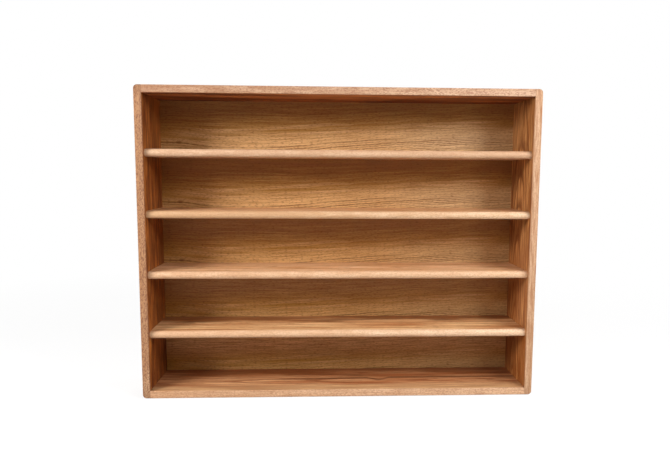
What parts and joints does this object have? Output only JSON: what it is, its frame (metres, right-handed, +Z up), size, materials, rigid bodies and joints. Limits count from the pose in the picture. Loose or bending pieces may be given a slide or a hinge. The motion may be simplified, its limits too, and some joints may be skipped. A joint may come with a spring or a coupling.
{
  "type": "compact disc rack",
  "caption": "Open oak wall or tabletop rack for compact discs: full-height sides, fixed bullnosed shelves housed in them, and a panelled back.",
  "frame": {"origin": "on the surface the rack stands on, below the middle of its width and depth", "axes": "+Z up; the open front looks along -Y and the back panel is at +Y; +X runs along the shelves to the right side as seen from the front"},
  "size_m": [1.016, 0.171, 0.794],
  "materials": {
    "oak_sides": "satin clear coat on flat-sawn red oak, grain upright",
    "oak_top_and_bottom": "satin clear coat on flat-sawn red oak, grain lengthwise",
    "oak_shelves": "satin clear coat on flat-sawn red oak, grain lengthwise",
    "oak_plywood": "satin clear coat on rotary oak veneer, grain lengthwise",
    "beech_dowel": "raw beech",
    "steel_brad": "bright drawn wire"
  },
  "bodies": {
    "root": {"left_side": "oak_sides", "right_side": "oak_sides", "top_panel": "oak_top_and_bottom", "bottom_panel": "oak_top_and_bottom", "shelf_1": "oak_shelves", "shelf_2": "oak_shelves", "shelf_3": "oak_shelves", "shelf_4": "oak_shelves", "back_panel": "oak_plywood", "top_left_dowels": "beech_dowel", "top_right_dowels": "beech_dowel", "bottom_left_dowels": "beech_dowel", "bottom_right_dowels": "beech_dowel", "back_edge_brads": "steel_brad", "back_shelf_brads": "steel_brad"}
  },
  "joints": []
}
